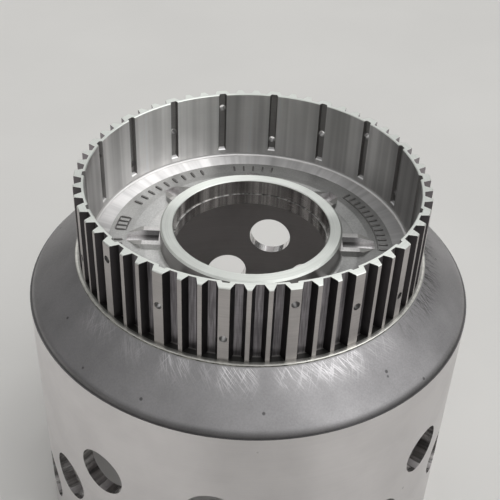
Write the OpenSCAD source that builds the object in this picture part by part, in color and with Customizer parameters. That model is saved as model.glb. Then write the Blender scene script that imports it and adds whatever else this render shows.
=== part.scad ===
// Clutch hub for an automatic gearbox, cast and turned from one piece of aluminium.
// A splined cup stands on the conical shoulder of a perforated drum, and a collar in the
// cup's floor holds a bearing. The origin is the centre of the drum's open end, +Z up the axis.

/* [Overall] */
// Height from the open end of the drum to the top rim
hub_h = 168; // [140:1:240]
// Bevel on the turned edges
edge_break = 0.3; // [0.1:0.05:0.6]

/* [Drum] */
// Outside radius of the turned drum wall
drum_r = 92.5; // [90:0.1:110]
// Thickness of the drum wall
drum_wall = 5; // [3:0.1:7]
// Radius of the holes through the drum wall
drum_hole_r = 10.75; // [6:0.05:12]
// Places for holes around each row
holes_per_row = 12; // [8:4:12]
// Height of the lowest row of holes
first_row_z = 24; // [20:0.1:30]
// Height from one row of holes to the next
row_pitch = 24.65; // [23:0.05:28]
// In the top row one place in this many is left undrilled
blank_every = 3; // [2:1:4]

/* [Shoulder] */
// Height from the turned drum wall's top edge to the ledge that the teeth stand on
shoulder_h = 17.4; // [13:0.1:25]
// How far the turned ledge stands out past the teeth
ledge_w = 1.7; // [1:0.1:4]
// Height of the ledge's turned edge
ledge_edge = 0.9; // [0.6:0.1:2]
// Rounding of the cast corner between shoulder and drum
corner_r = 5; // [3:0.1:8]
// How far the centre of that rounding lies below the turned wall's top edge
corner_drop = 1.4; // [0.5:0.1:3]
// How far the cast corner lies inside the turned wall
cast_inset = 0.4; // [0.1:0.1:1]
// Thickness of the conical shoulder
shoulder_wall = 5; // [3:0.1:7]
// Rounding of the corner inside the drum
inner_corner_r = 4; // [2:0.1:8]

/* [Spline] */
// Radius at the tips of the teeth
tip_r = 71; // [67:0.1:78]
// Depth of the gaps between the teeth
gap_depth = 3.2; // [2:0.1:3.6]
// Length of the teeth from the rim to the ledge
spline_l = 33.7; // [25:0.1:38]
// Groups of teeth around the rim, each with one wide tooth
groups = 18; // [12:1:18]
// Gaps between the teeth of one group
gaps_per_group = 3; // [1:1:3]
// Angle from one gap to the next within a group
gap_angle = 6; // [5.5:0.1:6.2]
// Width of a gap at the tips
gap_mouth = 5.85; // [4:0.05:6.2]
// Width of a gap at its root
gap_root = 2.9; // [2:0.05:3.8]

/* [Cup] */
// Wall between the gaps and the inside of the cup
cup_wall = 1.15; // [0.8:0.05:3]
// Width of an oil groove at the wall
groove_mouth = 3.5; // [2.5:0.1:5]
// Width of an oil groove at its floor
groove_floor = 2.4; // [1.5:0.1:2.5]
// Depth of an oil groove
groove_depth = 1.2; // [0.6:0.1:2]
// Height of the grooves' lower ends above the cast floor
groove_lift = 3.6; // [3:0.1:10]
// Radius of the oil holes through the wide teeth
oil_hole_r = 1.5; // [0.8:0.05:1.8]
// Distance of the highest oil holes from the rim
oil_first = 7.1; // [4:0.1:9]
// Step down from one oil hole height to the next
oil_step = 8.15; // [5:0.05:9]
// Number of oil hole heights
oil_heights = 3; // [1:1:3]

/* [Web] */
// How far the cast floor of the cup lies above the ledge outside
web_lift = 1.1; // [0:0.1:4]
// Thickness of the cast floor
web_t = 6; // [5:0.1:8]
// Width of the turned land in the cup's corner
land_w = 7.15; // [4:0.05:8]
// Depth of the land's inner edge below the cast floor
land_drop = 0.4; // [0.1:0.1:1]
// Rise of the land towards the wall
land_rise = 1; // [0:0.1:1.5]
// Fillet where the land meets the wall
land_fillet = 1.2; // [0.5:0.1:2]
// Width of the valley in the cast floor around the collar
valley_w = 7.3; // [5:0.1:8]
// Depth of the valley
valley_depth = 1.1; // [0.3:0.1:1.5]
// Width of the slope from the valley up to the cast floor
valley_slope = 5; // [3:0.1:6]

/* [Collar] */
// Thickness of the collar around the bearing bore
collar_wall = 5.3; // [4.5:0.1:7]
// Height of the collar above the cast floor
collar_h = 8.6; // [7.5:0.1:16]
// Bevel on the collar's outer edge
collar_bevel = 0.8; // [0.3:0.1:1.5]
// Radius of the bearing bore
bore_r = 32.4; // [26:0.05:36]
// Length of the bearing bore
bore_l = 6.9; // [5:0.1:8]
// Width of the stop below the bearing bore
stop_w = 0.5; // [0.3:0.1:3]
// Length of the stop
stop_l = 5; // [4:0.1:5]
// How far the seat turned into the underside reaches past the bearing bore
seat_w = 3.6; // [1:0.1:4]
// Fillet at the foot of the collar
foot_fillet = 1.8; // [0.5:0.1:3]

/* [Lugs] */
// Channelled lugs around the collar
lugs = 8; // [4:1:8]
// Width of a lug at its level top
lug_w = 12.4; // [10:0.1:14]
// Draft of a lug: how much wider it is at its foot, on each side
lug_draft = 1; // [0.2:0.1:2]
// Height of a lug's level top above the cast floor
lug_rise = 0.9; // [0.4:0.1:2]
// Length of the level top, from the collar
lug_l = 7.5; // [5:0.1:9]
// Length of the nose in which a lug falls into the floor
nose_l = 6.2; // [4:0.1:7]
// Width at the end of the nose
nose_w = 6.2; // [5.8:0.1:8]
// Width of the channel along a lug, at its round floor
channel_w = 4.4; // [3:0.1:4.8]
// Width of the channel at the lug's top
channel_mouth = 7; // [5:0.1:9]
// Depth of the channel below the cast floor
channel_depth = 2.8; // [1.5:0.1:3.4]
// Length of the channel
channel_l = 13.5; // [9:0.1:14]

/* [Hidden] */
$fn = 180;
// Overshoot of a cut past the face that it starts from
cut = 1;
// Overlap of pieces of metal that join
lap = 0.02;
// How deep a cone runs into the rounding that it meets
bite = 0.005;
// Distance of a channel from the collar's side
channel_gap = 0.6;

drum_in_r = drum_r - drum_wall;
hole_angle = 360 / holes_per_row;
ledge_z = hub_h - spline_l;
ledge_r = tip_r + ledge_w;
turned_h = ledge_z - shoulder_h;
root_r = tip_r - gap_depth;
cup_r = root_r - cup_wall;
group_angle = 360 / groups;
gap_flare = (gap_mouth - gap_root) / 2 / gap_depth;
groove_r = cup_r + groove_depth;
web_z = ledge_z + web_lift;
web_under_z = web_z - web_t;
groove_z = web_z + groove_lift;
land_r = cup_r - land_w;
land_z = web_z - land_drop;
land_out_r = cup_r - land_fillet;
land_out_z = land_z + land_rise;
collar_r = bore_r + collar_wall;
collar_z = web_z + collar_h;
valley_z = web_z - valley_depth;
valley_r = collar_r + valley_w;
bore_z = collar_z - bore_l;
stop_r = bore_r - stop_w;
seat_r = bore_r + seat_w;
seat_z = bore_z - stop_l;
lug_angle = 360 / lugs;
lug_in_r = collar_r - collar_wall / 2;
lug_out_r = collar_r + lug_l;
nose_r = lug_out_r + nose_l;
lug_z = web_z + lug_rise;
lug_foot = lug_w + 2 * lug_draft;
lug_slope = lug_draft / (lug_z - valley_z);
channel_r = channel_w / 2;
channel_z = web_z - channel_depth + channel_r;
channel_flare = (channel_mouth / 2 - channel_r) / (lug_z - channel_z);

// Shoulder: a cone from the ledge that runs into the rounding of the corner
shoulder_top = [ledge_r, ledge_z - ledge_edge];
corner = [drum_r - cast_inset - corner_r, turned_h - corner_drop];
shoulder_dir = heading(shoulder_top, corner, corner_r - bite);
shoulder_n = [-sin(shoulder_dir), cos(shoulder_dir)];
// The inside of the shoulder is parallel to the outside, one wall away
inner_offset = corner_r - bite - shoulder_wall;
inner_top_r = corner.x + (inner_offset - shoulder_n.y * (web_under_z - corner.y)) / shoulder_n.x;
inner_corner_x = drum_in_r - inner_corner_r;
inner_corner_slack = inner_offset + bite - inner_corner_r - shoulder_n.x * (inner_corner_x - corner.x);
inner_corner = [inner_corner_x, corner.y + inner_corner_slack / shoulder_n.y];

// Direction of the line from p that touches a circle on its upper side
function heading(p, c, r) = atan2(c.y - p.y, c.x - p.x) + asin(r / norm(c - p));

// Copies of a shape, n times around the axis
module around(n) {
    for (i = [0 : n - 1]) rotate(i * 360 / n) children();
}

// Profile of a bell: a drum whose rounded corner runs up a cone to the point top
module bell_profile(top, corner, r) {
    dir = heading(top, corner, r - bite);
    foot = corner + (r - bite) * [-sin(dir), cos(dir)];
    polygon([[0, top.y], top, foot, corner, [0, corner.y]]);
    translate(corner) circle(r);
    square([corner.x + r, corner.y]);
}

// Profile of a disc from the height z0 up, with a beveled upper edge
module disc_profile(r, z0, z1, bevel = edge_break) {
    polygon([[0, z0], [r, z0], [r, z1 - bevel], [r - bevel, z1], [0, z1]]);
}

// Bevel around the mouth of a hollow of radius r that opens upwards at the height zero
module mouth_profile(r) {
    bevel = edge_break;
    polygon([[0, -bevel], [r, -bevel], [r + bevel + cut, cut], [0, cut]]);
}

// Metal that rounds an inside corner at the origin, open to +X and +Y
module corner_fill(r) {
    difference() {
        translate([-lap, -lap]) square(r + lap);
        translate([r, r]) circle(r);
    }
}

// Outside of the drum, the shoulder and the ledge
module outer_profile() {
    bell_profile(shoulder_top, corner, corner_r);
    translate([0, turned_h]) mirror([0, 1]) disc_profile(drum_r, 0, turned_h);
    disc_profile(ledge_r, shoulder_top.y - lap, ledge_z);
}

// Hollow of the drum, open at the bottom
module drum_hollow_profile() {
    bell_profile([inner_top_r, web_under_z], inner_corner, inner_corner_r);
    mirror([0, 1]) mouth_profile(drum_in_r);
}

// Collar with its foot in the valley
module collar_profile() {
    disc_profile(collar_r, valley_z - lap, collar_z, collar_bevel);
    translate([collar_r, valley_z]) corner_fill(foot_fillet);
}

// Hollow of the cup around the collar: valley, cast floor and turned land
module cup_hollow_profile() {
    difference() {
        union() {
            polygon([
                [0, valley_z],
                [valley_r, valley_z],
                [valley_r + valley_slope, web_z],
                [land_r, web_z],
                [land_r, land_z],
                [land_out_r, land_out_z],
                [cup_r, land_out_z],
                [cup_r, hub_h],
                [0, hub_h]
            ]);
            translate([0, hub_h]) mouth_profile(cup_r);
        }
        translate([cup_r, land_out_z]) mirror([1, 0]) corner_fill(land_fillet);
        collar_profile();
    }
}

// Bearing bore with its stop, and the seat in the underside
module bore_profile() {
    translate([0, bore_z]) square([bore_r, bore_l]);
    translate([0, collar_z]) mouth_profile(bore_r);
    translate([0, seat_z - cut]) square([stop_r, stop_l + 2 * cut]);
    translate([0, web_under_z - cut]) square([seat_r, seat_z - web_under_z + cut]);
}

// Section of one gap between two teeth
module tooth_gap() {
    reach = gap_depth + 2 * cut;
    mouth_half = gap_root / 2 + gap_flare * reach;
    polygon([
        [root_r, -gap_root / 2],
        [root_r + reach, -mouth_half],
        [root_r + reach, mouth_half],
        [root_r, gap_root / 2]
    ]);
}

// The gaps of one group, centred between two wide teeth
module gap_group() {
    for (i = [0 : gaps_per_group - 1]) {
        rotate(group_angle / 2 + (i - (gaps_per_group - 1) / 2) * gap_angle) tooth_gap();
    }
}

// Toothed ring that stands on the ledge, still without the cup's hollow
module toothed_ring() {
    intersection() {
        rotate_extrude() disc_profile(tip_r, ledge_z - lap, hub_h);
        translate([0, 0, ledge_z - cut]) linear_extrude(spline_l + 2 * cut) difference() {
            circle(tip_r + cut);
            around(groups) gap_group();
        }
    }
}

// The turned and toothed form, before grooves, holes and lugs
module turned_body() {
    difference() {
        union() {
            rotate_extrude() outer_profile();
            toothed_ring();
        }
        rotate_extrude() {
            drum_hollow_profile();
            cup_hollow_profile();
            bore_profile();
        }
    }
}

// Oil groove inside the wall, behind a wide tooth, running out on a slope at its lower end
module oil_groove() {
    flare = (groove_mouth - groove_floor) / 2 / groove_depth;
    mouth_half = groove_floor / 2 + flare * (groove_depth + cut);
    intersection() {
        translate([0, 0, groove_z - cut]) linear_extrude(hub_h - groove_z + 2 * cut) polygon([
            [cup_r - cut, -mouth_half],
            [groove_r, -groove_floor / 2],
            [groove_r, groove_floor / 2],
            [cup_r - cut, mouth_half]
        ]);
        rotate([90, 0, 0]) linear_extrude(2 * mouth_half + cut, center = true) polygon([
            [cup_r - cut, groove_z - cut],
            [groove_r, groove_z + groove_depth],
            [groove_r, hub_h + cut],
            [cup_r - cut, hub_h + cut]
        ]);
    }
}

// Oil holes through the wide teeth, at heights that step down from tooth to tooth
module oil_holes() {
    for (i = [0 : groups - 1]) {
        step = (i + oil_heights - 1) % oil_heights;
        rotate(i * group_angle)
            translate([cup_r - cut, 0, hub_h - oil_first - step * oil_step])
                rotate([0, 90, 0]) cylinder(r = oil_hole_r, h = tip_r - cup_r + 2 * cut);
    }
}

// One hole through the drum wall
module drum_hole() {
    translate([drum_in_r - drum_hole_r, 0, 0])
        rotate([0, 90, 0]) cylinder(r = drum_hole_r, h = drum_wall + drum_hole_r + cut);
}

// Rows of drum holes: the middle row is staggered, and the top row has blank places
module drum_holes() {
    translate([0, 0, first_row_z]) around(holes_per_row) drum_hole();
    translate([0, 0, first_row_z + row_pitch])
        rotate(hole_angle / 2) around(holes_per_row) drum_hole();
    translate([0, 0, first_row_z + 2 * row_pitch])
        for (i = [0 : holes_per_row - 1])
            if (i % blank_every != 0) rotate(i * hole_angle) drum_hole();
}

// One lug: a boss with drafted sides and a level top, whose nose narrows and falls into the floor
module lug() {
    root_z = valley_z - cut;
    plan_half = lug_foot / 2 + lap;
    root_half = lug_foot / 2 + lug_slope * 2 * cut;
    over_half = lug_w / 2 - lug_slope * cut;
    sunk_half = nose_w / 2 - (plan_half - nose_w / 2) * cut / nose_l;
    intersection() {
        translate([0, 0, root_z]) linear_extrude(lug_z - root_z + cut) polygon([
            [lug_in_r, -plan_half],
            [lug_out_r, -plan_half],
            [nose_r + cut, -sunk_half],
            [nose_r + cut, sunk_half],
            [lug_out_r, plan_half],
            [lug_in_r, plan_half]
        ]);
        rotate([90, 0, 0]) linear_extrude(lug_foot + 2 * cut, center = true) polygon([
            [lug_in_r - cut, root_z - cut],
            [nose_r + 2 * cut, root_z - cut],
            [nose_r + 2 * cut, web_z - lug_rise * 2 * cut / nose_l],
            [lug_out_r, lug_z],
            [lug_in_r - cut, lug_z]
        ]);
        translate([lug_in_r - cut, 0, 0]) rotate([90, 0, 90])
            linear_extrude(nose_r - lug_in_r + 3 * cut) polygon([
                [-root_half, root_z - cut],
                [root_half, root_z - cut],
                [over_half, lug_z + cut],
                [-over_half, lug_z + cut]
            ]);
    }
}

// The channel along a lug, round at its floor and flared to its mouth
module lug_channel() {
    rise = lug_z - channel_z + cut;
    mouth_half = channel_r + channel_flare * rise;
    translate([collar_r + channel_gap, 0, channel_z]) rotate([90, 0, 90]) linear_extrude(channel_l) {
        circle(channel_r);
        polygon([[-channel_r, 0], [channel_r, 0], [mouth_half, rise], [-mouth_half, rise]]);
    }
}

// The whole hub
module clutch_hub() {
    color([0.71, 0.71, 0.69]) difference() {
        union() {
            turned_body();
            rotate(lug_angle / 2) around(lugs) lug();
        }
        around(groups) oil_groove();
        oil_holes();
        drum_holes();
        rotate(lug_angle / 2) around(lugs) lug_channel();
    }
}

clutch_hub();
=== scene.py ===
import math

import bpy
import numpy as np
from mathutils import Matrix, Vector


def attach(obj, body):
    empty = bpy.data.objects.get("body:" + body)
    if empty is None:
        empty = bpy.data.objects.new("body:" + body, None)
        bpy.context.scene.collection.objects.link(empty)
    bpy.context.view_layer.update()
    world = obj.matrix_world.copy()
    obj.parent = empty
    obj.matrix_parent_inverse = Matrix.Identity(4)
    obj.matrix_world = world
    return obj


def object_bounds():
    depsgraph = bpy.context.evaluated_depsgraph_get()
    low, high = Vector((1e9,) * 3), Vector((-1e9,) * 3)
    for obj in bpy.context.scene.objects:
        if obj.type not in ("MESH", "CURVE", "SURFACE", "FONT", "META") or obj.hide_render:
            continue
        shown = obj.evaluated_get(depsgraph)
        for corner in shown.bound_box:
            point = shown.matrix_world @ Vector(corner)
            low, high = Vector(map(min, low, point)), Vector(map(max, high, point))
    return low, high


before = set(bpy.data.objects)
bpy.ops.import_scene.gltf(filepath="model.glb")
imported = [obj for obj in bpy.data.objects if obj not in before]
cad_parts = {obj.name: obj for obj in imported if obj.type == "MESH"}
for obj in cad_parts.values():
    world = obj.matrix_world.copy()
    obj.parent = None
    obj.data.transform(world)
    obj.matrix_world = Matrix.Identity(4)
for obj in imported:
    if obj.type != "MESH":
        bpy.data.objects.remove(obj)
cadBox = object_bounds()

mm = 0.001
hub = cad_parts["clutch_hub"]
rimZ = cadBox[1].z
drumR = cadBox[1].x
print("hub loaded:", len(hub.data.polygons), "faces")


# Node helpers: every finish below is a short chain of these
def newFinish(name):
    material = bpy.data.materials.new(name)
    material.use_nodes = True
    tree = material.node_tree
    tree.nodes.clear()
    out = tree.nodes.new("ShaderNodeOutputMaterial")
    shader = tree.nodes.new("ShaderNodeBsdfPrincipled")
    tree.links.new(shader.outputs["BSDF"], out.inputs["Surface"])
    return material, tree, shader


def plug(tree, socket, value):
    # a link where the value is another node's output, a constant otherwise
    if isinstance(value, bpy.types.NodeSocket):
        tree.links.new(value, socket)
    else:
        socket.default_value = value


def fill(tree, node, *values):
    # one value for each of the node's first sockets
    for socket, value in zip(node.inputs, values):
        plug(tree, socket, value)
    return node


def calc(tree, operation, a, b=0.0):
    node = tree.nodes.new("ShaderNodeMath")
    node.operation = operation
    return fill(tree, node, a, b).outputs[0]


def vectorCalc(tree, operation, *values):
    node = tree.nodes.new("ShaderNodeVectorMath")
    node.operation = operation
    return fill(tree, node, *values).outputs["Value" if operation == "DOT_PRODUCT" else "Vector"]


def vector(tree, x, y, z):
    return fill(tree, tree.nodes.new("ShaderNodeCombineXYZ"), x, y, z).outputs[0]


def parts(tree, where):
    return fill(tree, tree.nodes.new("ShaderNodeSeparateXYZ"), where).outputs


def product(tree, *factors):
    result = factors[0]
    for factor in factors[1:]:
        result = calc(tree, "MULTIPLY", result, factor)
    return result


def ramp(tree, value, low, high, toLow=0.0, toHigh=1.0):
    # a smooth step from toLow at low to toHigh at high
    node = tree.nodes.new("ShaderNodeMapRange")
    node.interpolation_type = "SMOOTHSTEP"
    return fill(tree, node, value, low, high, toLow, toHigh).outputs["Result"]


def tinted(tree, colour, tone):
    # the plain colour times a grey tone
    node = tree.nodes.new("ShaderNodeMix")
    node.data_type = "RGBA"
    node.blend_type = "MULTIPLY"
    node.inputs["Factor"].default_value = 1.0
    node.inputs["A"].default_value = (*colour, 1)
    plug(tree, node.inputs["B"], vector(tree, tone, tone, tone))
    return node.outputs["Result"]


def places(tree):
    # x, y, z and the radius r in metres, and the direction (x/r, y/r, 0) away from the axis
    coords = tree.nodes.new("ShaderNodeTexCoord").outputs["Object"]
    x, y, z = parts(tree, coords)
    r = calc(tree, "SQRT", calc(tree, "ADD", product(tree, x, x), product(tree, y, y)))
    away = vector(tree, calc(tree, "DIVIDE", x, r), calc(tree, "DIVIDE", y, r), 0.0)
    return {"coords": coords, "x": x, "y": y, "z": z, "r": r, "away": away}


def noise(tree, where, scale, detail=2.0, roughness=0.5, w=None):
    # with w it also changes along a fourth direction
    node = tree.nodes.new("ShaderNodeTexNoise")
    node.noise_dimensions = "3D" if w is None else "4D"
    return fill(tree, node, where, 0.0 if w is None else w, scale, detail, roughness).outputs["Fac"]


def wrapped(tree, away, turns, along, rise):
    # a seamless place around the axis: turns times the direction, and rise times a length
    around = vectorCalc(tree, "MULTIPLY", away, (turns, turns, turns))
    return vectorCalc(tree, "ADD", around, vector(tree, 0.0, 0.0, calc(tree, "MULTIPLY", along, rise)))


def facing(tree, direction, heading, wide, full):
    # 1 within full degrees of a heading around the axis, 0 beyond wide degrees
    angle, wide, full = (math.radians(degrees) for degrees in (heading, wide, full))
    along = vectorCalc(tree, "DOT_PRODUCT", direction, (math.cos(angle), math.sin(angle), 0))
    return ramp(tree, along, math.cos(wide), math.cos(full))


def paintLightBySide(tree, at, tone, sides):
    # painted light and shade: the tone times a gain towards some headings around the hub, where more or
    # less light falls: heading, wide, full and gain of each
    for heading, wide, full, gain in sides:
        share = product(tree, facing(tree, at["away"], heading, wide, full), gain - 1.0)
        tone = product(tree, tone, calc(tree, "ADD", 1.0, share))
    return tone


def paintLightByRadius(tree, at, tone, fade):
    # painted light and shade: the tone times a gain that changes from one radius to another (mm)
    for start, end, low, high in fade:
        tone = product(tree, tone, ramp(tree, at["r"], start * mm, end * mm, low, high))
    return tone


def specks(tree, at, perMetre, share, size):
    # small round spots, one in a share of the cells of a Voronoi pattern
    cells = tree.nodes.new("ShaderNodeTexVoronoi")
    plug(tree, cells.inputs["Scale"], perMetre)
    plug(tree, cells.inputs["Vector"], at["coords"])
    chance = fill(tree, tree.nodes.new("ShaderNodeSeparateColor"), cells.outputs["Color"]).outputs[0]
    spot = ramp(tree, cells.outputs["Distance"], size / 2, size, 1.0, 0.0)
    return product(tree, spot, calc(tree, "GREATER_THAN", chance, 1.0 - share))


def softEdge(tree, radius):
    node = tree.nodes.new("ShaderNodeBevel")
    node.samples = 4
    return fill(tree, node, radius).outputs["Normal"]


def leaning(tree, normal, direction, share):
    # the normal plus a share of a direction, made one long again
    lean = vectorCalc(tree, "MULTIPLY_ADD", direction, (share, share, share), normal)
    return vectorCalc(tree, "NORMALIZE", lean)


def filletNormal(tree, at, middleR, middleZ):
    # towards the middle of a fillet that runs around the axis: (middleR - r) away + (middleZ - z) up
    over = calc(tree, "SUBTRACT", middleR, at["r"])
    rise = calc(tree, "SUBTRACT", middleZ, at["z"])
    x, y = parts(tree, at["away"])[:2]
    towards = vector(tree, product(tree, x, over), product(tree, y, over), rise)
    return vectorCalc(tree, "NORMALIZE", towards)


def bump(tree, height, distance, normal=None):
    node = tree.nodes.new("ShaderNodeBump")
    plug(tree, node.inputs["Distance"], distance)
    plug(tree, node.inputs["Height"], height)
    if normal is not None:
        plug(tree, node.inputs["Normal"], normal)
    return node.outputs["Normal"]


# Where the finishes meet: radii, depths below the rim and widths of the hub (mm)
zones = {"tipR": 71.0, "rootR": 67.8, "cupR": 66.65, "rimBevel": 0.35, "oilHoleDepth": (2.0, 32.0),
         "grooveEndDepth": 20.0, "ledgeDepth": 33.7, "ledgeEdge": 0.9, "ledgeR": 72.7,
         "wallTopDepth": 51.1, "holeTopDepth": 56.1, "drumWall": 5.0,
         "landR": 59.5, "filletR": 65.45, "filletDepth": 30.8, "floorDepth": 32.6,
         "collarR": 37.7, "collarDepth": 24.0, "collarBevel": 0.8,
         "boreR": 32.4, "boreDepth": 40.0, "stopR": 31.9, "stopDepth": 30.9,
         "lugs": 8, "lugDepth": 31.7, "noseDepth": 33.0, "lugR": (45.2, 51.4),
         "channelR": (38.2, 51.9), "channelHalf": 2.2, "channelMidDepth": 33.2, "channelFlare": 0.867,
         "channelDepth": 2.8,
         "wallBand": 1.2,  # the middles of the wall's flat facets lie up to this far inside its radius
         "near": 0.25, "touch": 0.1, "hair": 0.02}  # how far off still counts

# Turned metal (mm): what holds for every turned finish that says nothing else;
# a noise is its scale, detail and roughness
turnedBase = {
    "lay": 0.06, "layPitch": 0.45, "layDepth": 0.003,  # lathe marks: contrast, pitch and height
    "layTurns": 1.5, "layNoise": (1.0, 3.0, 0.6), "layCut": (0.25, 0.75), "layRough": 0.08,
    "smudge": 0.10, "smudgeNoise": (45.0, 4.0, 0.55), "smudgeCut": (0.35, 0.7), "smudgeRough": 0.04,
    "streak": None,  # bands across the lathe marks: turns, rise per metre, lowest and highest tone
    "streakNoise": (1.0, 2.0, 0.6), "streakCut": (0.3, 0.7),
    "dirt": 0.0, "dirtSpots": (160.0, 0.05, 0.13),  # dark specks: strength; cells per metre, share, size
    "stretch": 0.4, "stretchTurn": 0.25,  # how far the lathe marks draw out a reflection
    "tilt": 0.0,  # lean of the lathe marks towards the axis
    "edge": 0.12,  # rounding of the edges
    "fillet": None,  # radius and depth of a fillet's middle, or 0 and None on a wall around the axis
    "fade": (),  # painted light and shade from one radius to another, from one tone to another
    "sides": ()}  # painted light and shade towards some headings: heading, wide, full and gain

paleMetal = (0.95, 0.98, 0.93)  # of the cleanest faces
turnedLooks = {
    "drumInside": {"colour": (0.52, 0.495, 0.495), "rough": 0.5, "stretch": 0.2},
    # drumWall: painted reflection, darker or lighter towards some headings; its specks are dirt
    "drumWall": {"colour": (0.71, 0.688, 0.688), "rough": 0.36, "lay": 0.02, "layDepth": 0.001,
                 "smudge": 0.06, "dirt": 0.35,
                 "sides": [(-110, 17, 3, 0.86), (-162, 50, 25, 1.09), (-58, 24, 10, 0.92)]},
    # drumHole: painted reflection, light and dark bands on the hole walls
    "drumHole": {"colour": (0.95, 0.93, 0.92), "rough": 0.22, "stretch": 0.0,
                 "streak": (32.0, 380.0, 0.35, 1.2)},
    # ledge: painted shade on the floors between the teeth and a painted highlight on the outer bead; the
    # broken bands are dirt
    "ledge": {"colour": (0.95, 0.94, 0.88), "rough": 0.34, "layDepth": 0.001, "smudge": 0.25,
              "stretch": 0.7, "streak": (45.0, 0.0, 0.88, 1.05),
              "fade": [(68.2, 68.6, 1.0, 0.3), (70.8, 71.1, 0.5, 1.9), (71.5, 71.9, 1.0, 1.75)]},
    "ledgeSide": {"colour": (0.34, 0.34, 0.30), "rough": 0.4, "smudge": 0.4,
                  "streak": (24.0, 0.0, 0.3, 1.5)},
    # toothFlank: near black as painted shade in the gaps between the teeth, lightened towards the back as
    # painted light
    "toothFlank": {"colour": (0.07, 0.065, 0.068), "rough": 0.45, "stretch": 0.0,
                   "sides": [(66.65, 115, 75, 5.0)]},
    # oilHole: darker as painted shade inside the hole
    "oilHole": {"colour": (0.36, 0.355, 0.35), "rough": 0.35, "stretch": 0.0},
    # toothRoot: darker as painted shade at the bottoms of the gaps between the teeth
    "toothRoot": {"colour": (0.28, 0.265, 0.28), "rough": 0.4, "smudge": 0.3, "stretch": 0.0,
                  "streak": (110.0, 90.0, 0.62, 1.15)},
    "toothTip": {"colour": (0.505, 0.48, 0.47), "rough": 0.42, "smudge": 0.12, "stretch": 0.2},
    # oilGroove: darker as painted shade inside the grooves
    "oilGroove": {"colour": (0.36, 0.35, 0.345), "rough": 0.4, "stretch": 0.0},
    # grooveEnd: near white as a painted highlight at the bottom of each groove
    "grooveEnd": {"colour": (1.0, 0.99, 0.98), "rough": 0.3, "stretch": 0.0,
                  "fade": [(66.95, 67.3, 1.0, 0.45)]},
    # cupWall: painted reflection of the room, lighter and darker bands at some headings round the wall
    "cupWall": {"colour": (0.80, 0.79, 0.78), "rough": 0.29, "lay": 0.015, "layDepth": 0.0004,
                "smudge": 0.06, "stretch": 0.9, "streak": (14.0, 4.0, 0.80, 1.12), "fillet": (0.0, None),
                "sides": [(103, 22, 6, 1.25), (-11, 20, 8, 0.7), (154, 16, 5, 0.62), (77, 5, 1.5, 0.72),
                          (67, 6, 2, 1.25), (52, 9, 4, 1.25)]},
    # land: painted light, lighter towards the left back and darker towards the back and the right
    "land": {"colour": (0.80, 0.79, 0.785), "rough": 0.4, "lay": 0.02, "layDepth": 0.001, "stretch": 0.85,
             "streak": (14.0, 0.0, 0.82, 1.08), "tilt": 0.22,
             "sides": [(112, 60, 25, 1.2), (60, 28, 12, 0.74), (0, 36, 16, 0.64)]},
    "landFillet": {"colour": (0.82, 0.81, 0.80), "rough": 0.34, "lay": 0.02, "layDepth": 0.001,
                   "fillet": (zones["filletR"], zones["filletDepth"])},
    # collarSide: darker as painted shade on the collar's outer side
    "collarSide": {"colour": (0.36, 0.35, 0.345), "rough": 0.35},
    # bore: painted reflection, vertical light and dark bands round the bore
    "bore": {"colour": (0.5, 0.48, 0.47), "rough": 0.24, "streak": (12.0, 0.0, 0.5, 1.2),
             "fillet": (0.0, None)},
    # stopFace: painted light and dark dashes round the face, breaking up its highlight
    "stopFace": {"colour": (0.8, 0.8, 0.78), "rough": 0.3, "streak": (14.0, 0.0, 0.2, 1.2)},
    # collarFace: painted shade on two opposite headings of the face
    "collarFace": {"colour": paleMetal, "rough": 0.34, "layDepth": 0.001, "stretch": 0.9, "tilt": 0.08,
                   "sides": [(-25, 22, 6, 0.74), (157, 24, 8, 0.9)]},
    "rimFace": {"colour": paleMetal, "rough": 0.36, "layDepth": 0.001, "stretch": 0.75}}


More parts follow.
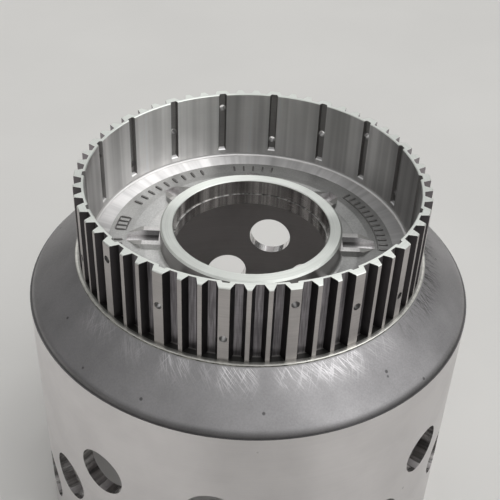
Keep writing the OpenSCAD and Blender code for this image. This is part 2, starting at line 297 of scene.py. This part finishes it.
def turnedFinish(name, changes):
    # lathe marks follow r + z, so they run around the axis on a wall and on a face alike
    look = {**turnedBase, **changes}
    material, tree, shader = newFinish(name)
    at = places(tree)
    pitch = calc(tree, "DIVIDE", calc(tree, "ADD", at["r"], at["z"]), look["layPitch"] * mm)
    ring = wrapped(tree, at["away"], look["layTurns"], at["r"], 0.0)
    marks = noise(tree, ring, *look["layNoise"], pitch)
    handled = ramp(tree, noise(tree, at["coords"], *look["smudgeNoise"]), *look["smudgeCut"])
    tone = calc(tree, "SUBTRACT", 1.0, calc(tree, "MULTIPLY", handled, look["smudge"]))
    tone = product(tree, tone, ramp(tree, marks, *look["layCut"], 1.0 - look["lay"], 1.0 + look["lay"]))
    if look["streak"]:
        turns, rise, low, high = look["streak"]
        band = noise(tree, wrapped(tree, at["away"], turns, at["z"], rise), *look["streakNoise"])
        tone = product(tree, tone, ramp(tree, band, *look["streakCut"], low, high))
    if look["dirt"]:
        spots = specks(tree, at, *look["dirtSpots"])
        tone = product(tree, tone, calc(tree, "SUBTRACT", 1.0, product(tree, spots, look["dirt"])))
    # painted light and shade by radius and towards some headings
    tone = paintLightBySide(tree, at, paintLightByRadius(tree, at, tone, look["fade"]), look["sides"])
    plug(tree, shader.inputs["Base Color"], tinted(tree, look["colour"], tone))
    smoothest = look["rough"] - look["layRough"] / 2
    rough = calc(tree, "ADD", smoothest, product(tree, marks, look["layRough"]))
    rough = calc(tree, "ADD", rough, product(tree, handled, look["smudgeRough"]))
    plug(tree, shader.inputs["Roughness"], rough)
    shader.inputs["Metallic"].default_value = 1.0
    shader.inputs["Anisotropic"].default_value = look["stretch"]
    shader.inputs["Anisotropic Rotation"].default_value = look["stretchTurn"]
    around = vector(tree, calc(tree, "MULTIPLY", at["y"], -1.0), at["x"], 0.0)
    plug(tree, shader.inputs["Tangent"], around)
    if look["fillet"]:  # smooth where the solid has facets
        middleR, middleDepth = look["fillet"]
        middleZ = at["z"] if middleDepth is None else rimZ - middleDepth * mm
        normal = filletNormal(tree, at, middleR * mm, middleZ)
    else:
        normal = softEdge(tree, look["edge"] * mm)
    if look["tilt"]:
        normal = leaning(tree, normal, at["away"], -look["tilt"])
    plug(tree, shader.inputs["Normal"], bump(tree, marks, look["layDepth"] * mm, normal))
    return material


# Brush strokes on the shoulder below the ledge; in bunches of headings they are painted lighter, as painted
# glints, or darker, as painted shade: radii in mm, slants in radians per metre, fine and ragged turns in
# noise cells per radian, long in cells per metre; a bunch is its heading, its half width, its full half
# width (degrees) and its strength
strokeSet = {"fromR": 72.8, "fullR": 73.3, "endR": 83.0, "haze": 0.12, "polish": 0.12,
             "brightGain": 1.4, "darkGain": 0.8, "fineStep": 37,
             "raggedTurns": 26.0, "raggedStep": 5, "raggedLong": 110.0, "raggedCut": (0.42, 0.62),
             "bright": {"slants": (-12.0, -8.0, -17.0, -14.0, 7.0), "fine": 160.0, "long": 150.0,
                        "cut": (0.55, 0.66),
                        "bunches": [(-162, 9, 2, 0.45), (-147, 6, 1, 0.3), (-133, 6, 2, 0.7),
                                    (-124, 6, 1, 0.3), (-115.5, 7, 3, 0.9), (-98, 9, 3, 0.7),
                                    (-86, 10, 4, 0.85), (-72, 8, 1, 0.3)]},
             "dark": {"slants": (1.5, -3.0, 5.0, -6.0), "fine": 125.0, "long": 200.0, "cut": (0.54, 0.64),
                      "bunches": [(-55, 10, 3, 0.4), (-38, 16, 9, 0.9), (-14, 20, 10, 1.0)]}}


def brushStrokes(tree, at, kind):
    # noise that is narrow around the axis and short along the radius, slanted by turning it with the
    # radius, kept to the bunches and to a band below the ledge
    k, lay = strokeSet, strokeSet[kind]
    fromR, fullR, endR = k["fromR"] * mm, k["fullR"] * mm, k["endR"] * mm
    beyond = calc(tree, "SUBTRACT", at["r"], fromR)
    lines, bunches = 0.0, 0.0
    for number, slant in enumerate(lay["slants"]):
        turn = tree.nodes.new("ShaderNodeVectorRotate")
        turn.rotation_type = "Z_AXIS"
        plug(tree, turn.inputs["Vector"], at["away"])
        plug(tree, turn.inputs["Angle"], calc(tree, "MULTIPLY", beyond, slant))
        slanted = turn.outputs[0]
        fine = wrapped(tree, slanted, lay["fine"] + k["fineStep"] * number, at["r"], lay["long"])
        line = ramp(tree, noise(tree, fine, 1.0, 1.0), *lay["cut"])
        turns = k["raggedTurns"] + k["raggedStep"] * number
        ragged = wrapped(tree, slanted, turns, at["r"], k["raggedLong"])
        line = product(tree, line, ramp(tree, noise(tree, ragged, 1.0), *k["raggedCut"]))
        lines = calc(tree, "ADD", lines, line)
    for heading, wide, full, strength in lay["bunches"]:
        bunch = facing(tree, at["away"], heading, wide, full)
        bunches = calc(tree, "MAXIMUM", bunches, product(tree, bunch, strength))
    reach = product(tree, ramp(tree, at["r"], fromR, fullR), ramp(tree, at["r"], fullR, endR, 1.0, 0.0))
    return product(tree, calc(tree, "MINIMUM", calc(tree, "ADD", lines, k["haze"]), 1.0), bunches, reach)


# Cast metal (mm): what holds for every cast finish that says nothing else;
# a noise is its scale, detail and roughness
castBase = {
    "grainDepth": 0.012, "grainTone": 0.10, "grainNoise": (1500.0, 3.0, 0.65), "grainCut": (0.25, 0.75),
    "grainRough": 0.06, "grainRoughCut": (0.2, 0.8),
    "mottle": 0.16, "mottleNoise": (60.0, 5.0, 0.6), "mottleCut": (0.3, 0.7),
    "pits": 0.03, "pitCells": 260.0, "pitSize": 0.22, "pitTone": 0.6, "pitDepth": 3.0,  # depth in grains
    "strokes": False,
    "foot": None,  # painted shade above the top of the drum's wall, in the corner where the casting meets it: its height and lowest tone
    "fade": (), "sides": ()}
castLooks = {
    # castShoulder: painted shade in the corner above the drum's wall, painted shade and a painted highlight
    # towards some headings, painted glints and shade along the strokes
    "castShoulder": {"colour": (0.412, 0.403, 0.409), "rough": 0.46, "grainDepth": 0.006,
                     "grainTone": 0.05, "strokes": True, "foot": (2.2, 0.35),
                     "sides": [(-66, 22, 6, 0.80), (-18, 25, 10, 1.1)]},
    # castFloor: painted light, lighter on the left and darker on the right, with lighter and darker bands
    # by radius that even out the shading of its facets
    "castFloor": {"colour": (0.53, 0.53, 0.52), "rough": 0.46, "pits": 0.01, "mottle": 0.22,
                  "fade": [(43.5, 45.5, 1.12, 0.9), (52.0, 53.5, 1.0, 1.1)],
                  "sides": [(-23, 62, 22, 0.68), (157, 50, 20, 1.15)]},
    # lugTop: worn smoother, and lighter than the floor as a painted highlight
    "lugTop": {"colour": (0.62, 0.61, 0.60), "rough": 0.34, "pits": 0.0, "mottle": 0.5},
    # lugNose: darker than the floor as painted shade
    "lugNose": {"colour": (0.44, 0.435, 0.42), "rough": 0.45, "pits": 0.0},
    # lugChannel: darker as painted shade in the channel, lightening towards its outer end
    "lugChannel": {"colour": (0.42, 0.41, 0.41), "rough": 0.45, "pits": 0.0,
                   "fade": [(43.0, 48.0, 0.5, 1.7)]}}


def castFinish(name, changes):
    # blasted casting: fine grain, cloudy tone and a few dark pits
    look = {**castBase, **changes}
    material, tree, shader = newFinish(name)
    at = places(tree)
    grain = noise(tree, at["coords"], *look["grainNoise"])
    cloud = noise(tree, at["coords"], *look["mottleNoise"])
    mottle, grainTone = look["mottle"] / 2, look["grainTone"]
    tone = ramp(tree, cloud, *look["mottleCut"], 1.0 - mottle, 1.0 + mottle)
    tone = product(tree, tone, ramp(tree, grain, *look["grainCut"], 1.0 - grainTone, 1.0 + grainTone))
    pit = specks(tree, at, look["pitCells"], look["pits"], look["pitSize"])
    tone = product(tree, tone, calc(tree, "SUBTRACT", 1.0, product(tree, pit, look["pitTone"])))
    # painted light and shade by radius
    tone = paintLightByRadius(tree, at, tone, look["fade"])
    # painted shade in the corner above the top of the drum's wall
    if look["foot"]:
        height, lowest = look["foot"]
        wallTop = rimZ - zones["wallTopDepth"] * mm
        tone = product(tree, tone, ramp(tree, at["z"], wallTop, wallTop + height * mm, lowest, 1.0))
    # painted light and shade towards some headings
    tone = paintLightBySide(tree, at, tone, look["sides"])
    roughest, smoothest = look["rough"] + look["grainRough"], look["rough"] - look["grainRough"]
    rough = ramp(tree, grain, *look["grainRoughCut"], roughest, smoothest)
    # painted glints and painted shade along the brush strokes
    if look["strokes"]:
        bright, dark = (brushStrokes(tree, at, kind) for kind in ("bright", "dark"))
        tone = product(tree, tone, calc(tree, "ADD", 1.0, product(tree, bright, strokeSet["brightGain"])),
                       calc(tree, "SUBTRACT", 1.0, product(tree, dark, strokeSet["darkGain"])))
        rough = calc(tree, "SUBTRACT", rough, product(tree, bright, strokeSet["polish"]))
    plug(tree, shader.inputs["Base Color"], tinted(tree, look["colour"], tone))
    plug(tree, shader.inputs["Roughness"], rough)
    shader.inputs["Metallic"].default_value = 1.0
    height = calc(tree, "SUBTRACT", grain, product(tree, pit, look["pitDepth"]))
    plug(tree, shader.inputs["Normal"], bump(tree, height, look["grainDepth"] * mm))
    return material


def between(values, low, high):
    return (values > low) & (values < high)


def zoneHub():
    # every face gets a finish by the place of its middle and by the way it looks; later finishes win
    mesh = hub.data
    count = len(mesh.polygons)
    middle, normal = np.empty(count * 3, np.float32), np.empty(count * 3, np.float32)
    mesh.polygons.foreach_get("center", middle)
    mesh.polygons.foreach_get("normal", normal)
    middle, normal = middle.reshape(-1, 3) / mm, normal.reshape(-1, 3)
    r = np.hypot(middle[:, 0], middle[:, 1])
    depth = rimZ / mm - middle[:, 2]
    outward = (normal[:, :2] * middle[:, :2]).sum(1) / r
    up = normal[:, 2]
    looksOut, looksIn, notOut, notIn = outward > 0.9, outward < -0.9, outward < 0.1, outward > -0.1
    level, sloping, looksUp, notDown = up > 0.9, up > 0.5, up > 0.3, up > -0.1
    tilted, steep, rounded = abs(up) > 0.1, abs(up) < 0.98, between(up, 0.02, 0.999)
    k, near, touch, hair = zones, zones["near"], zones["touch"], zones["hair"]
    ledgeEnd = k["ledgeDepth"] + k["ledgeEdge"]
    onLedge = between(depth, k["ledgeDepth"] - hair, ledgeEnd + hair)
    toothed = (depth < k["ledgeDepth"] - hair) & (r > k["cupR"] - near)
    atRoot = toothed & (r < k["rootR"] + touch)
    deepest = k["floorDepth"] + k["channelDepth"] + touch
    inCup = between(r, k["collarR"] - near, k["cupR"]) & between(depth, k["collarDepth"] + touch, deepest)
    onWall = looksIn & between(r, k["cupR"] - k["wallBand"], k["cupR"] + touch)
    inBore = r < k["boreR"] + touch
    # a place beside the nearest lug's middle line: s along it, t across it
    part = 2 * math.pi / k["lugs"]
    turn = np.mod(np.arctan2(middle[:, 1], middle[:, 0]), part) - part / 2
    s, t = r * np.cos(turn), r * np.sin(turn)
    half = k["channelHalf"] + k["channelFlare"] * np.maximum(k["channelMidDepth"] - depth, 0)
    lugEnd, noseEnd = k["lugR"]
    # some finishes are lighter or darker copies of one metal that hold painted shade or a painted highlight
    masks = {
        "drumInside": np.ones(count, bool),
        "drumWall": r > drumR / mm - 2 * near,
        "drumHole": (r > drumR / mm - k["drumWall"] - near) & ~looksOut & ~looksIn & steep
        & (depth > k["holeTopDepth"]),
        "castShoulder": (r > k["ledgeR"] - near) & between(depth, ledgeEnd, k["wallTopDepth"] + touch)
        & notIn & notDown,
        "ledge": onLedge & (r > k["rootR"] - near) & notDown,
        "ledgeSide": onLedge & (r > k["tipR"]) & looksOut,
        "toothFlank": toothed & (r > k["rootR"] - near),
        "oilHole": toothed & between(r, k["rootR"], k["tipR"]) & tilted
        & between(depth, *k["oilHoleDepth"]),
        "toothRoot": atRoot & looksOut,
        "toothTip": toothed & (r > k["tipR"] - near) & looksOut,
        "oilGroove": atRoot & ~notIn,
        "grooveEnd": atRoot & notOut & looksUp & (depth > k["grooveEndDepth"]),
        "cupWall": onWall & (depth < k["filletDepth"] + touch),
        "castFloor": inCup & ~onWall & notDown,
        "lugTop": inCup & level & (abs(depth - k["lugDepth"]) < touch) & (s < lugEnd + near),
        "lugNose": inCup & ~notOut & sloping & between(s, lugEnd + touch, noseEnd)
        & (depth < k["noseDepth"]),
        "lugChannel": inCup & (abs(t) < half + touch) & between(s, *k["channelR"]),
        "land": inCup & (r > k["landR"] - touch) & (level | rounded),
        "landFillet": inCup & (r > k["filletR"]) & rounded,
        "collarSide": looksOut & (abs(r - k["collarR"]) < near)
        & between(depth, k["collarDepth"] + k["collarBevel"], k["ledgeDepth"]),
        "bore": inBore & (r > k["stopR"] - touch)
        & between(depth, k["collarDepth"] + near, k["boreDepth"]),
        "stopFace": inBore & level & (abs(depth - k["stopDepth"]) < touch),
        "collarFace": looksUp & (r < k["collarR"] + touch)
        & between(depth, k["collarDepth"] - touch, k["collarDepth"] + k["collarBevel"]),
        "rimFace": looksUp & (depth < k["rimBevel"])}
    index = np.zeros(count, np.int32)
    mesh.materials.clear()
    for number, (name, chosen) in enumerate(masks.items()):
        if name in castLooks:
            material = castFinish(name, castLooks[name])
        else:
            material = turnedFinish(name, turnedLooks[name])
        mesh.materials.append(material)
        index[chosen] = number
    mesh.polygons.foreach_set("material_index", index)
    for number, name in enumerate(masks):
        print("  finish", name, int((index == number).sum()), "faces")


zoneHub()
print("finishes on the hub: done")

# Plain raised ticks that the mould leaves on the cast floor of the cup, coloured dark as painted shade
# along them (mm and degrees)
ticks = {"height": 0.5, "square": 0.4, "blunt": 8, "around": 12, "rings": 9, "arcRings": 45,
         "look": {"colour": (0.24, 0.235, 0.23), "rough": 0.45, "pits": 0.0},
         "rows": [  # heading of the first and the last tick, how many, radius, length, width
             (-26.0, 17.2, 13, 55.6, 4.2, 0.9), (92.0, 131.0, 9, 55.3, 4.4, 1.1),
             (58.0, 76.0, 5, 55.3, 4.0, 0.8), (143.5, 152.5, 4, 55.2, 4.6, 0.7),
             (160.0, 166.0, 3, 55.2, 4.0, 0.9)],
         "arcs": [  # heading, radius, span, width
             (-4.4, 53.2, 45.0, 0.5), (148.0, 52.9, 9.6, 0.5), (148.0, 57.5, 9.6, 0.5)]}


def barGrid(rings):
    # a closed bar along x from 1 to -1, w = sqrt(1 - x^blunt) wide at x: y = w boxy(cos u) and
    # z = w boxy(sin u); boxy raises a value to the power square and keeps its sign; the two ends are poles
    def boxy(values):
        return np.sign(values) * np.abs(values) ** ticks["square"]
    around = ticks["around"]
    x = np.linspace(1, -1, rings + 2)[1:-1, None]
    u = np.linspace(0, 2 * math.pi, around, endpoint=False)[None, :]
    w = np.sqrt(1 - x ** ticks["blunt"])
    bar = np.stack([x + 0 * u, w * boxy(np.cos(u)), w * boxy(np.sin(u))], -1).reshape(-1, 3)
    i, j = np.meshgrid(np.arange(rings - 1), np.arange(around), indexing="ij")
    here, beside = i * around + j, i * around + (j + 1) % around
    quads = np.stack([here, here + around, beside + around, beside], -1).reshape(-1, 4)
    j, following = np.arange(around), (np.arange(around) + 1) % around
    end, last = np.full(around, rings * around), (rings - 1) * around
    firstFan = np.stack([end, j, following], -1)
    lastFan = np.stack([end + 1, last + following, last + j], -1)
    return np.concatenate([bar, [[1, 0, 0], [-1, 0, 0]]]), quads, np.concatenate([firstFan, lastFan])


def bend(bar, heading, r, halfOut, halfRound, outAxis):
    # bars bent around the axis: radius r + out, angle heading + over / r, height above the cast floor
    out = halfOut * bar[None, :, outAxis]
    over = halfRound * bar[None, :, 1 - outAxis] * (1 if outAxis == 0 else -1)
    angle = np.radians(heading) + over / r
    z = rimZ / mm - zones["floorDepth"] + ticks["height"] * bar[None, :, 2] + 0 * r
    return np.stack([(r + out) * np.cos(angle), (r + out) * np.sin(angle), z], -1) * mm


def addTicks():
    bar, *barFaces = barGrid(ticks["rings"])
    rows = [(np.linspace(a, b, n), np.full(n, r), np.full(n, long / 2), np.full(n, wide / 2))
            for a, b, n, r, long, wide in ticks["rows"]]
    heading, r, long, wide = (np.concatenate(column)[:, None] for column in zip(*rows))
    straight = bend(bar, heading, r, long, wide, 0)
    curve, *curveFaces = barGrid(ticks["arcRings"])
    heading, r, span, wide = (np.array(column)[:, None] for column in zip(*ticks["arcs"]))
    arcs = bend(curve, heading, r, wide / 2, np.radians(span / 2) * r, 1)
    points, faces = np.concatenate([straight.reshape(-1, 3), arcs.reshape(-1, 3)]), []
    for shape, grids, first in ((straight, barFaces, 0), (arcs, curveFaces, straight.size // 3)):
        step = first + np.arange(shape.shape[0])[:, None, None] * shape.shape[1]
        for grid in grids:
            faces += (grid[None] + step).reshape(-1, grid.shape[1]).tolist()
    mesh = bpy.data.meshes.new("castTicks")
    mesh.from_pydata(points.tolist(), [], faces)
    mesh.shade_smooth()
    piece = bpy.data.objects.new("castTicks", mesh)
    bpy.context.scene.collection.objects.link(piece)
    mesh.materials.append(castFinish("castTick", ticks["look"]))
    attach(piece, "root")
    print("cast ticks:", len(points), "points")


addTicks()

# Camera: where it stands around the hub and how it looks (mm and degrees)
view = {"heading": 66.646, "aim": 66.67, "back": 314.23, "aboveRim": 205.31, "pitch": 37.703,
        "roll": 2.531, "lens": 67.779, "sensor": 36}


def addCamera():
    heading, aim, pitch, roll = (math.radians(view[name]) for name in ("heading", "aim", "pitch", "roll"))
    level = Vector((math.cos(heading), math.sin(heading), 0))
    gaze = Vector((math.cos(aim), math.sin(aim), 0)) * math.cos(pitch) - Vector((0, 0, math.sin(pitch)))
    side = gaze.cross(Vector((0, 0, 1))).normalized()
    top = side.cross(gaze)
    right = side * math.cos(roll) + top * math.sin(roll)
    above = top * math.cos(roll) - side * math.sin(roll)
    data = bpy.data.cameras.new("camera")
    data.lens = view["lens"]
    data.sensor_width = view["sensor"]
    camera = bpy.data.objects.new("camera", data)
    camera.matrix_world = Matrix((right, above, -gaze)).transposed().to_4x4()
    height = rimZ + view["aboveRim"] * mm
    camera.matrix_world.translation = -level * view["back"] * mm + Vector((0, 0, height))
    bpy.context.scene.collection.objects.link(camera)
    bpy.context.scene.camera = camera
    return level, side


ahead, side = addCamera()
print("camera: done")

# Floor, sky and lamps (metres, watts, degrees); a lamp's place is right, ahead and up from the hub's rim
stage = {"floorSize": 30.0, "floorTone": (0.765, 0.755, 0.73), "rough": 0.7, "gloss": 0.2,
         "cloudNoise": (6.0, 3.0), "cloudCut": (0.3, 0.7), "cloudTone": (0.98, 1.02)}
# a glow is its azimuth from the camera's right, its elevation and its gain; soft holds the cosines of the
# angles from its middle where it starts and where it is full
sky = {"dim": 0.05, "soft": (0.707, 0.978),
       "glows": {"window": (0, 52, 1.2), "lowWindow": (-45, 18, 0.53), "ceiling": (90, 88, 0.22),
                 "backRight": (45, 52, 0.33), "back": (90, 52, 0.45), "backLeft": (135, 52, 0.38),
                 "frontLeft": (-135, 52, 0.29)}}
lamps = {"topPanel": {"place": (0.1, -0.5, 1.5), "size": (1.2, 1.2), "power": 1.6}}


def addFloor():
    s = stage["floorSize"]
    mesh = bpy.data.meshes.new("floor")
    mesh.from_pydata([(-s, -s, 0), (s, -s, 0), (s, s, 0), (-s, s, 0)], [], [(0, 1, 2, 3)])
    floor = bpy.data.objects.new("floor", mesh)
    bpy.context.scene.collection.objects.link(floor)
    material, tree, shader = newFinish("floor")
    cloud = noise(tree, places(tree)["coords"], *stage["cloudNoise"])
    tone = ramp(tree, cloud, *stage["cloudCut"], *stage["cloudTone"])
    plug(tree, shader.inputs["Base Color"], tinted(tree, stage["floorTone"], tone))
    shader.inputs["Roughness"].default_value = stage["rough"]
    shader.inputs["Specular IOR Level"].default_value = stage["gloss"]
    mesh.materials.append(material)


def addSky():
    # a dim room with soft glows: a large window on the right, a pale ceiling and walls
    world = bpy.data.worlds.new("studio")
    world.use_nodes = True
    tree = world.node_tree
    toward = tree.nodes.new("ShaderNodeTexCoord").outputs["Generated"]
    light = sky["dim"]
    for azimuth, elevation, gain in sky["glows"].values():
        a, e = math.radians(azimuth), math.radians(elevation)
        middle = (side * math.cos(a) + ahead * math.sin(a)) * math.cos(e) + Vector((0, 0, math.sin(e)))
        glow = ramp(tree, vectorCalc(tree, "DOT_PRODUCT", toward, middle), *sky["soft"], 0.0, gain)
        light = calc(tree, "ADD", light, glow)
    ground = tree.nodes["Background"]
    ground.inputs["Color"].default_value = (1, 1, 1, 1)
    plug(tree, ground.inputs["Strength"], light)
    bpy.context.scene.world = world


def addLamps():
    rim = Vector((0, 0, rimZ))
    for name, lamp in lamps.items():
        data = bpy.data.lights.new(name, "AREA")
        data.shape = "RECTANGLE"
        data.size, data.size_y = lamp["size"]
        data.energy = lamp["power"]
        made = bpy.data.objects.new(name, data)
        right, forward, up = lamp["place"]
        made.location = rim + side * right + ahead * forward + Vector((0, 0, up))
        made.rotation_euler = (rim - made.location).to_track_quat("-Z", "Y").to_euler()
        made.visible_camera = False
        bpy.context.scene.collection.objects.link(made)


addFloor()
addSky()
addLamps()
bpy.context.scene.view_settings.view_transform = "Standard"
print("floor, sky and lamps: done")
